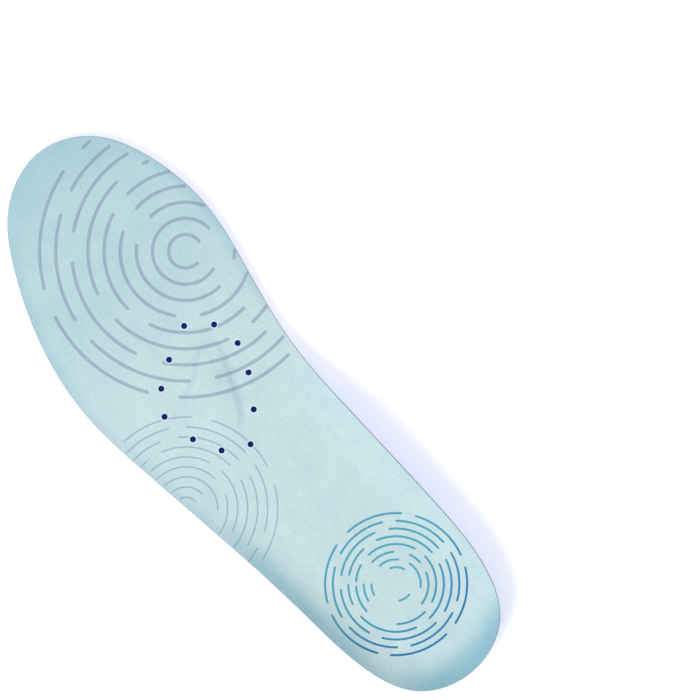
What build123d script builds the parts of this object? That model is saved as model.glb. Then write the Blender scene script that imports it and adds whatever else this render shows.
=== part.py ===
"""Cushioned gel insole for a left foot, built as the laminate that it is: a printed textile cover, a foam
sheet, a gel base with a heel cup, and, let into the gel's underside, a semi-rigid arch shell, a honeycomb
heel pad, an oval gel button and a studded forefoot pad.

Frame, in millimetres: the insole lies on Z = 0 with its cover up. -Y is the toe, +Y the heel, +X the outer
side of the foot and -X the arch side. The origin is the bottom centre of the bounding box.

The insole bends at the toe break, a line across the ball of the foot. Each layer that crosses it is a rear
and a forefoot solid, with a hair of clearance between them, and the hinge line lies in the cover's face.
"""

import os
from math import cos, exp, radians, sin, tan

import numpy as np
from build123d import *

os.makedirs("parts", exist_ok=True)

# ---- driving dimensions -------------------------------------------------------------------------
COVER_T = 0.7  # printed textile
FOAM_T = 1.3  # foam sheet under it
SHELL_T = 1.6  # semi-rigid arch shell
FOREFOOT_T = 5.0  # whole stack at the ball of the foot
TOE_T = 4.2  # whole stack at the tip of the toe
HEEL_T = 8.6  # whole stack under the heel bone
HEEL_RIM = 7.5  # how far the rim stands above the bed round the heel
ARCH_RIM = 9.0  # and along the arch
OUTER_RIM = 3.6  # and along the outer side
CUP_WIDTH = 17.0  # width over which the bed sweeps up to the rim
WALL_H = 24.0  # height of the blank from which the stack is cut

# Outline seen from above, anticlockwise from the toe: x, y, and the height of the rim there, which sets how
# far the side wall leans in below it.
OUTLINE = [
    (-7, -140, 3.8),
    (16, -130.5, 3.9),
    (30.5, -110, 4.2),
    (42.3, -80, 4.7),
    (47.6, -46, 5.0),
    (44.4, -10, 6.6),
    (39, 25, 9.4),
    (32.3, 78, 14.0),
    (28, 110.5, 16.0),
    (18.5, 130.5, 16.1),
    (-5, 140, 16.1),
    (-28, 130.5, 16.1),
    (-36.9, 110.5, 16.0),
    (-38.8, 78, 16.4),
    (-37, 25, 15.0),
    (-37, -10, 9.0),
    (-43.6, -50, 5.0),
    (-47.5, -78, 4.7),
    (-42.3, -110, 4.2),
    (-30.5, -130.5, 3.9),
]
# Inward lean of the wall, from rim to sole, by part of the foot.
TOE_LEAN = 1.2
WAIST_LEAN = 5.0
HEEL_SIDE_LEAN = 4.0
HEEL_BACK_LEAN = 1.8

# Toe break: the hinge line runs through this point at this angle to X, in the cover's face.
BREAK_POINT = (-7.4, -45.8)
BREAK_ANGLE = 17.9
BREAK_GAP = 0.3  # clearance between the halves of a layer

# Ring of vents round the metatarsal pad.
VENT_R = 1.3
VENT_FLOOR = 1.4  # the vents go through cover and foam and end in the gel, at this height
DIMPLE_R = 1.1  # dimple in the gel's underside below each vent
DIMPLE_DEPTH = 0.7
VENTS = [
    (3.6, 9.3),
    (14.4, 3.4),
    (20.4, -7.9),
    (23.2, -22.7),
    (16.6, -32.4),
    (6.3, -39.4),
    (-7.6, -45.9),
    (-17.4, -38.2),
    (-19.8, -26.0),
    (-15.2, -13.8),
    (-6.8, -0.8),
]
# Metatarsal pad: a soft rise of the bed, with a hollow under it.
METATARSAL_RISE = 1.6
METATARSAL_CENTRE = (1.5, -19.0)
METATARSAL_HALF = (12.0, 17.0)
METATARSAL_SLANT = 0.12
HOLLOW = [
    (3.2, -1.5),
    (11, -12.5),
    (13.5, -21.5),
    (7, -28.5),
    (-4.5, -34),
    (-10.5, -33.5),
    (-9.5, -25),
    (-3.4, -9.5),
]
HOLLOW_DEPTH = 0.9

# Heel window in the shell and the honeycomb pad in it.
HEEL_CENTRE = (-3.1, 102.6)
HEEL_HALF = (21.2, 29.6)
HEEL_MOAT = 1.3  # open groove round the pad
HEEL_PAD_FACE = 0.6  # how far the pad's face sits above the shell's
POCKET_FLOOR = 3.4  # height of the pocket's floor
CELL_PITCH = 5.85
CELL_WALL = 1.35
CELL_DEPTH = 1.7
CELL_ANGLE = -14.7
CELLS_REACH = 34  # the lattice is laid out this far from the pad's centre
HEEL_PAD_RIM = 1.2  # plain border round the cells

# Oval window and the gel button in it.
BUTTON_CENTRE = (0.9, 50.0)
BUTTON_HALF = (9.6, 12.2)
BUTTON_GAP = 0.4
BUTTON_FACE = 0.3
BUTTON_ROUND = 1.6

# Engraved lines of the shell: arcs beside the button's window, and a fan from them to the shell's edge.
LINE_W = 0.6
LINE_D = 0.4
ARC_GAPS = (3.4, 5.2)  # outside the window
ARC_HALF_SPAN = 58  # degrees to either side of straight out
FAN = [
    ((-11.5, 63.5), (-29.6, 86)),
    ((-15, 61.5), (-30, 78)),
    ((-16.5, 58.5), (-30.4, 65.5)),
    ((-16.8, 54), (-30, 60.5)),
    ((-17, 51.3), (-29.8, 51)),
    ((-16.8, 47.2), (-29.2, 46.2)),
    ((-15.8, 43), (-28.6, 31.5)),
    ((-14.2, 39.3), (-28.2, 26)),
    ((-11, 36.5), (-27.6, 18.5)),
    ((8.6, 66), (22, 92)),
    ((12.2, 64), (24, 86.5)),
    ((14.8, 60.5), (24.8, 74)),
    ((17, 57.8), (25.6, 68.8)),
    ((18.5, 54.7), (26.8, 57.2)),
    ((19, 51), (27, 53.3)),
    ((18.8, 46), (27.8, 41.6)),
    ((17.8, 42), (28, 36.8)),
    ((15.2, 38), (28.4, 25.5)),
]

# Forefoot pad.
STUD_PITCH = 6.05
STUD_ORIGIN = (-3.0, -76.9)
STUD_R = 2.05
STUD_H = 0.7
STUD_TAPER = 30  # degrees
STUD_TIP = 0.15  # height of the studs' tips above the floor
STUD_MARGIN = 3.6  # least distance from a stud's centre to the pad's edge
FILM_T = 0.5  # the film the studs stand on
FOREFOOT_GROOVE = 0.6  # open groove round the pad
FOREFOOT_PAD = [
    (-32, -55.8),
    (-38, -62.5),
    (-39.2, -76),
    (-37.6, -90),
    (-31, -104.5),
    (-22, -116.5),
    (-10, -121.8),
    (1, -120),
    (12, -110.5),
    (22, -95),
    (30, -77),
    (35.4, -58),
    (38, -43.5),
    (36.6, -37.2),
    (32.5, -35.2),
    (27.4, -37.4),
    (17, -47.3),
    (6, -58),
    (-4, -63.8),
    (-14, -65.4),
    (-22, -62.6),
    (-27.5, -57.4),
]
TOE_STEP = 0.7  # the toe's rim is lifted by this, outside the line below
TOE_LINE = [
    (-39, -108),
    (-34, -118),
    (-20, -129.2),
    (-6, -132.3),
    (7, -129.5),
    (22, -118),
    (32, -102),
]
BEYOND_SIDE = 60  # outside the insole on either side
BEYOND_TOE = -160  # in front of the toe

# Shell outline: the two prongs reach forward on either side of the metatarsal pad.
SHELL = [
    (-4, 138.2),
    (-22, 132.2),
    (-31.6, 116),
    (-34.3, 95),
    (-33.4, 70),
    (-31.2, 35),
    (-30.2, 8),
    (-29.4, -6),
    (-26.2, -11.8),
    (-22.6, -8),
    (-15.5, 7),
    (-6.5, 22.5),
    (3.6, 29.4),
    (12.5, 26),
    (20.5, 16.5),
    (26.5, 10.2),
    (31, 9.2),
    (33.3, 13.5),
    (31.6, 32),
    (28.6, 65),
    (25.6, 98),
    (22, 117.5),
    (11.5, 133.6),
]
SHELL_GAP = 0.5  # groove between the shell's edge and the gel


# ---- shape of the bed ---------------------------------------------------------------------------
def ease(t):
    """0 below 0, 1 above 1, and smooth between."""
    t = min(max(t, 0.0), 1.0)
    return t * t * (3 - 2 * t)


def along_curve(points, count):
    """Evenly spaced places on the smooth closed curve through the given points."""
    with BuildLine() as guide:
        Spline(*points, periodic=True)
    wire = guide.wire()
    return [wire @ (i / count) for i in range(count)]


def arc_chain(points):
    """The same closed curve as a chain of arcs, one for each point, in the line being built."""
    marks = along_curve(points, 2 * len(points))
    for i in range(0, len(marks), 2):
        ThreePointArc(marks[i], marks[i + 1], marks[(i + 2) % len(marks)])


def sampled(points, count=720):
    return np.array([(place.X, place.Y) for place in along_curve(points, count)])


def depth_inside(edge, x, y):
    """Distance from a sampled closed curve, positive inside it."""
    ahead = np.roll(edge, -1, axis=0)
    run = ahead - edge
    away = np.array([x, y]) - edge
    share = np.clip((away * run).sum(1) / (run * run).sum(1), 0, 1)
    distance = np.hypot(*(away - share[:, None] * run).T).min()
    spans = (edge[:, 1] > y) != (ahead[:, 1] > y)
    crossing = x < edge[:, 0] + away[:, 1] * run[:, 0] / (run[:, 1] + 1e-12)
    return distance if (spans & crossing).sum() % 2 else -distance


OUTLINE_EDGE = sampled([(x, y) for x, y, _ in OUTLINE])
BREAK_SLOPE = tan(radians(BREAK_ANGLE))


def behind_break(x, y):
    """Distance behind the toe break, along Y."""
    return y - BREAK_POINT[1] - BREAK_SLOPE * (x - BREAK_POINT[0])


def stack_thickness(y):
    """Thickness of the whole stack along the middle of the bed. It is level across the toe break."""
    heel = ease((y + 20) / 90)
    toe = ease((-66 - y) / 66)
    return FOREFOOT_T + (HEEL_T - FOREFOOT_T) * heel + (TOE_T - FOREFOOT_T) * toe


def rim_rise(x, y):
    """How far the rim stands above the bed, on the arch side, on the outer side and round the heel."""
    arch = ARCH_RIM * ease((y + 28) / 62)
    outer = OUTER_RIM * ease((y + 22) / 62)
    side = ease((x + 24) / 44)
    heel = ease((y - 40) / 55)
    return (arch + (outer - arch) * side) * (1 - heel) + HEEL_RIM * heel


def bed_height(x, y):
    """Height of the cover's face."""
    inside = depth_inside(OUTLINE_EDGE, x, y)
    sweep = min(max(0.0, 1 - inside / CUP_WIDTH), 1.4) ** 2
    across = (x - METATARSAL_CENTRE[0] - METATARSAL_SLANT * (y - METATARSAL_CENTRE[1])) / METATARSAL_HALF[0]
    along = (y - METATARSAL_CENTRE[1]) / METATARSAL_HALF[1]
    rise = METATARSAL_RISE * exp(-2.2 * (across**2 + along**2) ** 1.3)
    return stack_thickness(y) + rim_rise(x, y) * sweep + rise * ease(behind_break(x, y) / 9)


GRID_X = np.linspace(-62, 62, 40)
GRID_Y = np.linspace(-152, 152, 84)
BED = [[bed_height(x, y) for y in GRID_Y] for x in GRID_X]


def bed_sheet(below):
    """The cover's face lowered by a depth, as one smooth sheet."""
    points = [[Vector(x, y, z - below) for y, z in zip(GRID_Y, row)] for x, row in zip(GRID_X, BED)]
    return Face.make_surface_from_array_of_points(points, tol=0.02, min_deg=3, max_deg=3)


# ---- shared profiles ----------------------------------------------------------------------------
def wall_lean(y):
    """How far the side wall leans in between the rim and the sole."""
    front = ease((-20 - y) / 40)
    heel = ease((y - 70) / 30)
    back = ease((y - 118) / 18)
    lean = WAIST_LEAN + (HEEL_SIDE_LEAN - WAIST_LEAN) * heel
    lean += (HEEL_BACK_LEAN - lean) * back
    return lean + (TOE_LEAN - lean) * front


def wall_ring(level):
    """The side wall's section at a height: the outline at the rim, leaning in below it and out above it."""
    ring = []
    for i, (x, y, rim) in enumerate(OUTLINE):
        before, after = OUTLINE[i - 1], OUTLINE[(i + 1) % len(OUTLINE)]
        along = Vector(after[0] - before[0], after[1] - before[1]).normalized()
        shift = wall_lean(y) * (level / rim - 1)
        ring.append((x + along.Y * shift, y - along.X * shift))
    return ring


def break_plane(side):
    """The upright plane through the toe break, moved half the gap to one side of it."""
    back = Vector(-sin(radians(BREAK_ANGLE)), cos(radians(BREAK_ANGLE)), 0)
    point = Vector(*BREAK_POINT, 0) + back * (side * BREAK_GAP / 2)
    return Plane(origin=point, z_dir=back)


with BuildPart() as blank:
    for level in (0.0, WALL_H):
        with BuildSketch(Plane.XY.offset(level)):
            with BuildLine():
                arc_chain(wall_ring(level))
            make_face()
    loft(ruled=True)


def layer(top, thickness, vent_floor=0.0):
    """One layer of the stack over the whole insole, cut from the blank, with its vents down to a height."""
    with BuildPart() as slab:
        extrude(bed_sheet(top), amount=thickness, dir=(0, 0, -1))
        add(blank.part, mode=Mode.INTERSECT)
        with BuildSketch(Plane.XY.offset(vent_floor)):
            with Locations(*VENTS):
                Circle(VENT_R)
        extrude(amount=WALL_H, mode=Mode.SUBTRACT)
    return slab.part


def finish(part, name, colour):
    """Labels a piece and writes it to its own file."""
    part.label = name
    part.color = Color(*colour)
    export_step(part, f"parts/{name}.step")
    return part


def rear_and_forefoot(whole, name, colour):
    """Parts a layer at the toe break."""
    for side, keep, end in ((1, Keep.TOP, "rear"), (-1, Keep.BOTTOM, "fore")):
        with BuildPart() as half:
            add(whole)
            split(bisect_by=break_plane(side), keep=keep)
        finish(half.part, f"{name}_{end}", colour)


# ---- textile cover and foam sheet ---------------------------------------------------------------
rear_and_forefoot(layer(0, COVER_T), "top_cover", (0.78, 0.87, 0.89))
rear_and_forefoot(layer(COVER_T, FOAM_T), "foam_sheet", (0.70, 0.72, 0.74))


# ---- arch shell ---------------------------------------------------------------------------------
def shell_profile(gap):
    """The shell's outline, moved outwards by a gap."""
    with BuildSketch() as profile:
        with BuildLine():
            arc_chain(SHELL)
        make_face()
        if gap:
            offset(amount=gap)
    return profile.sketch


def outside_window(angle, gap):
    """A point outside the button's window, in the direction of an angle from its centre."""
    x = BUTTON_CENTRE[0] + (BUTTON_HALF[0] + gap) * cos(radians(angle))
    y = BUTTON_CENTRE[1] + (BUTTON_HALF[1] + gap) * sin(radians(angle))
    return x, y


with BuildPart() as arch_shell:
    with BuildSketch():
        add(shell_profile(0))
        with Locations(HEEL_CENTRE):
            Ellipse(*HEEL_HALF, mode=Mode.SUBTRACT)
        with Locations(BUTTON_CENTRE):
            Ellipse(*BUTTON_HALF, mode=Mode.SUBTRACT)
    extrude(amount=SHELL_T)
    with BuildSketch():
        with BuildLine():
            for start, end in FAN:
                Line(start, end)
            for middle in (0, 180):
                for gap in ARC_GAPS:
                    angles = [middle + ARC_HALF_SPAN * step / 3 for step in range(-3, 4)]
                    Spline(*[outside_window(angle, gap) for angle in angles])
        trace(line_width=LINE_W)
    extrude(amount=LINE_D, mode=Mode.SUBTRACT)
finish(arch_shell.part, "arch_shell", (0.60, 0.62, 0.60))


# ---- honeycomb heel pad -------------------------------------------------------------------------
def hex_lattice(pitch, angle, reach):
    """Centres of a hexagonal lattice with rows at an angle, out to a distance from the origin."""
    rows = int(reach / (pitch * sin(radians(60)))) + 1
    centres = []
    for row in range(-rows, rows + 1):
        for column in range(-2 * rows, 2 * rows + 1):
            along = pitch * (column + row / 2)
            across = pitch * sin(radians(60)) * row
            if along**2 + across**2 < reach**2:
                centres.append(Vector(along, across).rotate(Axis.Z, angle))
    return centres


HEEL_PAD_HALF = [half - HEEL_MOAT for half in HEEL_HALF]
CELLS_HALF = [half - HEEL_PAD_RIM for half in HEEL_PAD_HALF]

with BuildPart() as heel_pad:
    with BuildSketch(Plane.XY.offset(HEEL_PAD_FACE)):
        with Locations(HEEL_CENTRE):
            Ellipse(*HEEL_PAD_HALF)
    extrude(amount=POCKET_FLOOR - HEEL_PAD_FACE)
    with BuildSketch(Plane.XY.offset(HEEL_PAD_FACE)):
        with Locations(*[HEEL_CENTRE + centre for centre in hex_lattice(CELL_PITCH, CELL_ANGLE, CELLS_REACH)]):
            RegularPolygon((CELL_PITCH - CELL_WALL) / 2, 6, major_radius=False, rotation=CELL_ANGLE)
        with Locations(HEEL_CENTRE):
            Ellipse(*CELLS_HALF, mode=Mode.INTERSECT)
    extrude(amount=CELL_DEPTH, mode=Mode.SUBTRACT)
finish(heel_pad.part, "heel_honeycomb_pad", (0.20, 0.32, 0.62))


# ---- gel button ---------------------------------------------------------------------------------
BUTTON_SIZE = [half - BUTTON_GAP for half in BUTTON_HALF]

with BuildPart() as gel_button:
    with BuildSketch(Plane.XY.offset(BUTTON_FACE)):
        with Locations(BUTTON_CENTRE):
            Ellipse(*BUTTON_SIZE)
    extrude(amount=POCKET_FLOOR - BUTTON_FACE)
    fillet(gel_button.faces().sort_by(Axis.Z)[0].edges(), BUTTON_ROUND)
finish(gel_button.part, "gel_button", (0.0, 0.40, 0.85))


# ---- forefoot pad -------------------------------------------------------------------------------
FOREFOOT_EDGE = sampled(FOREFOOT_PAD, 240)
FOREFOOT_FLOOR = STUD_TIP + STUD_H + FILM_T


def forefoot_profile(gap):
    """The forefoot pad's outline, moved outwards by a gap."""
    with BuildSketch() as profile:
        with BuildLine():
            arc_chain(FOREFOOT_PAD)
        make_face()
        if gap:
            offset(amount=gap)
    return profile.sketch


def stud_places():
    """Columns of studs along Y, every other one set half a pitch forward."""
    places = []
    for column in range(-7, 9):
        for row in range(-9, 9):
            x = STUD_ORIGIN[0] + column * STUD_PITCH * cos(radians(30))
            y = STUD_ORIGIN[1] + (row + (column % 2) / 2) * STUD_PITCH
            if depth_inside(FOREFOOT_EDGE, x, y) > STUD_MARGIN:
                places.append((x, y))
    return places


with BuildPart() as forefoot_pad:
    with BuildSketch(Plane.XY.offset(STUD_TIP + STUD_H)):
        add(forefoot_profile(0))
    extrude(amount=FILM_T)
    with BuildSketch(Plane.XY.offset(STUD_TIP + STUD_H)):
        with Locations(*stud_places()):
            Circle(STUD_R)
    extrude(amount=-STUD_H, taper=STUD_TAPER)
finish(forefoot_pad.part, "forefoot_pad", (0.10, 0.35, 0.75))


# ---- gel base -----------------------------------------------------------------------------------
with BuildPart() as gel_base:
    add(layer(COVER_T + FOAM_T, WALL_H, VENT_FLOOR))
    # dimples under the vents
    with BuildSketch():
        with Locations(*VENTS):
            Circle(DIMPLE_R)
    extrude(amount=DIMPLE_DEPTH, mode=Mode.SUBTRACT)
    # recess that takes the shell, and the shell's two pockets
    with BuildSketch():
        add(shell_profile(SHELL_GAP))
    extrude(amount=SHELL_T, mode=Mode.SUBTRACT)
    with BuildSketch():
        with Locations(HEEL_CENTRE):
            Ellipse(*HEEL_HALF)
        with Locations(BUTTON_CENTRE):
            Ellipse(*BUTTON_SIZE)
    extrude(amount=POCKET_FLOOR, mode=Mode.SUBTRACT)
    # recess that takes the forefoot pad
    with BuildSketch():
        add(forefoot_profile(FOREFOOT_GROOVE))
    extrude(amount=FOREFOOT_FLOOR, mode=Mode.SUBTRACT)
    # hollow under the metatarsal rise
    with BuildSketch():
        with BuildLine():
            arc_chain(HOLLOW)
        make_face()
    extrude(amount=HOLLOW_DEPTH, mode=Mode.SUBTRACT)
    # lifted rim round the toe
    with BuildSketch():
        with BuildLine():
            edge = Spline(*TOE_LINE)
            outer_side = [(BEYOND_SIDE, TOE_LINE[-1][1]), (BEYOND_SIDE, BEYOND_TOE)]
            arch_side = [(-BEYOND_SIDE, BEYOND_TOE), (-BEYOND_SIDE, TOE_LINE[0][1])]
            Polyline(edge @ 1, *outer_side, *arch_side, edge @ 0)
        make_face()
    extrude(amount=TOE_STEP, mode=Mode.SUBTRACT)
rear_and_forefoot(gel_base.part, "gel_base", (0.0, 0.32, 0.78))
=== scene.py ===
"""The looks of a cushioned gel insole for a left foot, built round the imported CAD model.

Lengths are in millimetres and turned to metres where a mesh is made. The frame is the CAD model's: -Y is
the toe, +Y the heel, +X the outer side, -X the arch side, and the insole lies on Z = 0 with its cover up.
"""

import math

import bmesh
import bpy
import numpy as np
from mathutils import Matrix, Vector
from mathutils.geometry import delaunay_2d_cdt


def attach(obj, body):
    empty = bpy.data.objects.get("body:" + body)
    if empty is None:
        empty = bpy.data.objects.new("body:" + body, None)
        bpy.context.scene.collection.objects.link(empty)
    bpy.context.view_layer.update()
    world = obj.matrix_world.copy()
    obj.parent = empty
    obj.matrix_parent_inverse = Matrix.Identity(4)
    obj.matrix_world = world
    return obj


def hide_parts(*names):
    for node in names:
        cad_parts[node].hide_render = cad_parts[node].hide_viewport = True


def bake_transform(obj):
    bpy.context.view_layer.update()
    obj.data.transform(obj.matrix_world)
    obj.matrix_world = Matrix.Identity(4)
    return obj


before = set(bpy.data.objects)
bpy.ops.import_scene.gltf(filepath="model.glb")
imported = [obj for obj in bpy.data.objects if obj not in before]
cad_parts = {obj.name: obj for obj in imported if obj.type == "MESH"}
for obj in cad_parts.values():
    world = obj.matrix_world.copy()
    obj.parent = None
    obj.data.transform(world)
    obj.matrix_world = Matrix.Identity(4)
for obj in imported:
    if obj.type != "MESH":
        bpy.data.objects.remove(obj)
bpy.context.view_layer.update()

MM = 0.001
UV_SPAN = 0.3  # metres across the flat pattern
YARN = 0.0006  # pitch of the knit's courses, in metres
WAVE_PERIOD = 0.31416  # of Blender's wave texture at scale 1
WELD = 1e-7  # points this close, in metres, become one

# ---- sizes shared with the CAD model ----
COVER_T = 0.7
FOAM_T = 1.3
FOREFOOT_T, TOE_T, HEEL_T = 5.0, 4.2, 8.6
HEEL_RIM, ARCH_RIM, OUTER_RIM = 7.5, 9.0, 3.6
CUP_WIDTH = 17.0
TOE_LEAN, WAIST_LEAN, HEEL_SIDE_LEAN, HEEL_BACK_LEAN = 1.2, 5.0, 4.0, 1.8
OUTLINE = [
    (-7, -140), (16, -130.5), (30.5, -110), (42.3, -80), (47.6, -46), (44.4, -10), (39, 25),
    (32.3, 78), (28, 110.5), (18.5, 130.5), (-5, 140), (-28, 130.5), (-36.9, 110.5),
    (-38.8, 78), (-37, 25), (-37, -10), (-43.6, -50), (-47.5, -78), (-42.3, -110),
    (-30.5, -130.5),
]
BREAK_POINT = (-7.4, -45.8)
BREAK_ANGLE = 17.9
VENT_R = 1.3
VENTS = [
    (3.6, 9.3), (14.4, 3.4), (20.4, -7.9), (23.2, -22.7), (16.6, -32.4), (6.3, -39.4),
    (-7.6, -45.9), (-17.4, -38.2), (-19.8, -26.0), (-15.2, -13.8), (-6.8, -0.8),
]
VENT_FLOOR = 1.4  # the vents end in gel at this height
DIMPLE_R = 1.1  # of the dimple under each vent
DIMPLE_DEPTH = 0.7
METATARSAL_RISE = 1.6
METATARSAL_CENTRE = (1.5, -19.0)
METATARSAL_HALF = (12.0, 17.0)
METATARSAL_SLANT = 0.12
HOLLOW = [
    (3.2, -1.5), (11, -12.5), (13.5, -21.5), (7, -28.5), (-4.5, -34), (-10.5, -33.5),
    (-9.5, -25), (-3.4, -9.5),
]
HOLLOW_DEPTH = 0.9
SHELL_T = 1.6
SHELL_GAP = 0.5
SHELL = [
    (-4, 138.2), (-22, 132.2), (-31.6, 116), (-34.3, 95), (-33.4, 70), (-31.2, 35),
    (-30.2, 8), (-29.4, -6), (-26.2, -11.8), (-22.6, -8), (-15.5, 7), (-6.5, 22.5),
    (3.6, 29.4), (12.5, 26), (20.5, 16.5), (26.5, 10.2), (31, 9.2), (33.3, 13.5),
    (31.6, 32), (28.6, 65), (25.6, 98), (22, 117.5), (11.5, 133.6),
]
HEEL_CENTRE = (-3.1, 102.6)
HEEL_HALF = (21.2, 29.6)
HEEL_MOAT = 1.3
HEEL_PAD_FACE = 0.6
POCKET_FLOOR = 3.4
CELL_PITCH, CELL_WALL, CELL_DEPTH, CELL_ANGLE = 5.85, 1.35, 1.7, -14.7
HEEL_PAD_RIM = 1.2
BUTTON_CENTRE = (0.9, 50.0)
BUTTON_HALF = (9.6, 12.2)
BUTTON_GAP = 0.4
BUTTON_FACE = 0.3
STUD_PITCH = 6.05
STUD_ORIGIN = (-3.0, -76.9)
STUD_R = 2.05
STUD_H = 0.7
STUD_TIP = 0.15
FILM_T = 0.5
FOREFOOT_GROOVE = 0.6
FOREFOOT_PAD = [
    (-32, -55.8), (-38, -62.5), (-39.2, -76), (-37.6, -90), (-31, -104.5), (-22, -116.5),
    (-10, -121.8), (1, -120), (12, -110.5), (22, -95), (30, -77), (35.4, -58), (38, -43.5),
    (36.6, -37.2), (32.5, -35.2), (27.4, -37.4), (17, -47.3), (6, -58), (-4, -63.8),
    (-14, -65.4), (-22, -62.6), (-27.5, -57.4),
]
FOREFOOT_FLOOR = STUD_TIP + STUD_H + FILM_T
TOE_STEP = 0.7
TOE_LINE = [
    (-39, -108), (-34, -118), (-20, -129.2), (-6, -132.3), (7, -129.5), (22, -118),
    (32, -102),
]

# ---- sizes of the finer pieces ----
SEAT = 0.02  # gap under a piece that sits in a recess
MESH_STEP, FINE_STEP = 2.2, 0.9  # spacing of loose mesh points, and over the metatarsal pad
LAYER_STEP = 4.0  # spacing where a layer is hidden
COVER_SETBACK = 0.35  # the cover is cut a little inside the foam's edge
PAD_ZONE = 30  # radius round the metatarsal pad
HALO = 0.5  # width of the cut edge that shows round a vent
WALL = 0.3  # width, seen from below, of the walls of the gel's recesses
HOLLOW_WALL = 0.9
STEP_WALL = 0.45
TOE_LINE_END = -103  # the step stops at this Y on both sides
SOLE_ROUND = 0.9
SHELL_FACE = 0.35  # the shell's plain face; its ribs reach down towards the sole from it
BUTTON_CROWN = 0.9
SMALLEST_CELL = 1.6  # square millimetres
CREST_SETBACK = 0.28  # of a cell's mouth behind the crest of its wall
STUD_CLEARANCE = 1.5  # between a stud and the pad's edge
SMALLEST_STUD = 1.0  # radius
# Raised ribs of the shell: each comes in from the shell's edge and bends back out beside the window.
RIBS = [
    [(28, 87), (13.5, 62.5), (15, 60.5), (30, 72)],
    [(30.5, 68), (16, 56), (17, 54.5), (30.5, 55)],
    [(31, 51.5), (17, 50), (17, 48), (31.5, 38.5)],
    [(33, 32.5), (16.5, 43), (16, 41), (32.5, 25)],
    [(-27.5, 85.5), (-11.5, 63.5), (-14, 60), (-28, 72)],
    [(-27.5, 66.5), (-15, 56), (-15.5, 53), (-26, 53.5)],
    [(-26.5, 50), (-16, 49), (-15.5, 44.5), (-25.5, 37)],
    [(-25.5, 32.5), (-14, 40.5), (-11.5, 37.5), (-24.5, 21.5)],
]
# Engraved line round each fan of ribs, along the window between its two straight ends.
FRAMES = [
    [(27.5, 91.5), (11, 63), (11, 61.5), (13.5, 58), (15.5, 53), (15.5, 47.5), (13, 41), (31, 22.5)],
    [(-26, 88), (-8.5, 65), (-8.5, 62.5), (-11, 58), (-13, 52.5), (-12, 43.5), (-9, 38), (-23, 20.5)],
]
RIB_HALF = 0.9
RIB_RISE = 0.26
LINE_HALF = 0.3  # of an engraved line
LINE_DEPTH = 0.24
# Edge of the metatarsal pad where the cover is drawn over it.
METATARSAL_OUTLINE = [
    (4.5, 1.5), (9.5, -4), (14.2, -14), (13.5, -21), (3, -27.5), (-7.5, -34.4), (-12, -33),
    (-11, -25), (-5.5, -11), (0.5, -1),
]


# ---- curves and heights ----
def ease(t):
    t = np.clip(t, 0.0, 1.0)
    return t * t * (3 - 2 * t)


def closed_curve(points, count):
    """Evenly spaced points on the smooth closed curve through the given ones."""
    p = np.array(points, float)
    n = len(p)
    step = np.hypot(*(np.roll(p, -1, axis=0) - p).T)
    system = np.zeros((n, n))
    right = np.zeros((n, 2))
    for i in range(n):
        before, after = step[i - 1], step[i]
        system[i, i - 1] = before
        system[i, i] = 2 * (before + after)
        system[i, (i + 1) % n] = after
        right[i] = 6 * ((p[(i + 1) % n] - p[i]) / after - (p[i] - p[i - 1]) / before)
    bend = np.linalg.solve(system, right)
    places = []
    for i in range(n):
        j, h = (i + 1) % n, step[i]
        for t in np.linspace(0, h, 60, endpoint=False):
            cubic = (bend[i] * (h - t) ** 3 + bend[j] * t**3) / (6 * h)
            line = (p[i] / h - bend[i] * h / 6) * (h - t) + (p[j] / h - bend[j] * h / 6) * t
            places.append(cubic + line)
    places = np.array([*places, places[0]])
    along = np.concatenate([[0], np.cumsum(np.hypot(*np.diff(places, axis=0).T))])
    at = np.linspace(0, along[-1], count, endpoint=False)
    return np.stack([np.interp(at, along, places[:, k]) for k in range(2)], axis=1)


def inside_depth(edge, xy):
    """Distance of each point from a closed line, positive inside it."""
    xy = np.atleast_2d(np.asarray(xy, float))
    ahead = np.roll(edge, -1, axis=0)
    run = ahead - edge
    result = np.empty(len(xy))
    for first in range(0, len(xy), 2000):
        q = xy[first : first + 2000, None, :]
        away = q - edge[None]
        share = np.clip((away * run).sum(2) / (run * run).sum(1), 0, 1)
        distance = np.linalg.norm(away - share[..., None] * run, axis=2).min(1)
        spans = (edge[:, 1] > q[..., 1]) != (ahead[:, 1] > q[..., 1])
        crossing = q[..., 0] < edge[:, 0] + away[..., 1] * run[:, 0] / (run[:, 1] + 1e-12)
        odd = (spans & crossing).sum(1) % 2 == 1
        result[first : first + 2000] = np.where(odd, distance, -distance)
    return result


OUTLINE_EDGE = closed_curve(OUTLINE, 420)


def behind_break(x, y):
    """Distance towards the heel from the line that the toe bends about, measured along Y."""
    return y - BREAK_POINT[1] - math.tan(math.radians(BREAK_ANGLE)) * (x - BREAK_POINT[0])


def bed_height(xy):
    """Height of the cover's face."""
    x, y = xy[:, 0], xy[:, 1]
    back, front = ease((y + 20) / 90), ease((-66 - y) / 66)
    stack = FOREFOOT_T + (HEEL_T - FOREFOOT_T) * back + (TOE_T - FOREFOOT_T) * front
    arch = ARCH_RIM * ease((y + 28) / 62)
    outer = OUTER_RIM * ease((y + 22) / 62)
    side = ease((x + 24) / 44)
    heel = ease((y - 40) / 55)
    rim = (arch + (outer - arch) * side) * (1 - heel) + HEEL_RIM * heel
    sweep = np.clip(1 - inside_depth(OUTLINE_EDGE, xy) / CUP_WIDTH, 0, 1.4) ** 2
    across = (x - METATARSAL_CENTRE[0] - METATARSAL_SLANT * (y - METATARSAL_CENTRE[1])) / METATARSAL_HALF[0]
    along = (y - METATARSAL_CENTRE[1]) / METATARSAL_HALF[1]
    rise = METATARSAL_RISE * np.exp(-2.2 * (across**2 + along**2) ** 1.3)
    return stack + rim * sweep + rise * ease(behind_break(x, y) / 9)


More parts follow.
